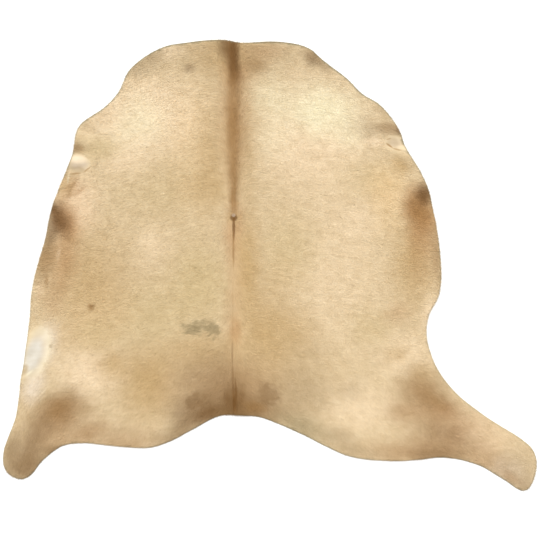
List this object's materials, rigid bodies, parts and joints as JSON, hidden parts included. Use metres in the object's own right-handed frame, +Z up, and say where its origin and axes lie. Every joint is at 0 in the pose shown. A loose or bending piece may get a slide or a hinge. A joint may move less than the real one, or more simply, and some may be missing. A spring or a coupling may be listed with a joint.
{
  "type": "cowhide rug",
  "caption": "Whole hair-on cowhide lying flat as a floor rug, trimmed along its own outline with neck, shoulders, flanks and hind legs.",
  "frame": {"origin": "on the floor, under the middle of the hide's box", "axes": "+Z up out of the coat, +X across the hide, +Y along the spine towards the neck"},
  "size_m": [2.1962, 1.86, 0.0188],
  "materials": {
    "hair_on_hide": "short straw-coloured hair, softly glossy along its lie"
  },
  "bodies": {
    "root": {"hide": "hair_on_hide"}
  },
  "joints": []
}
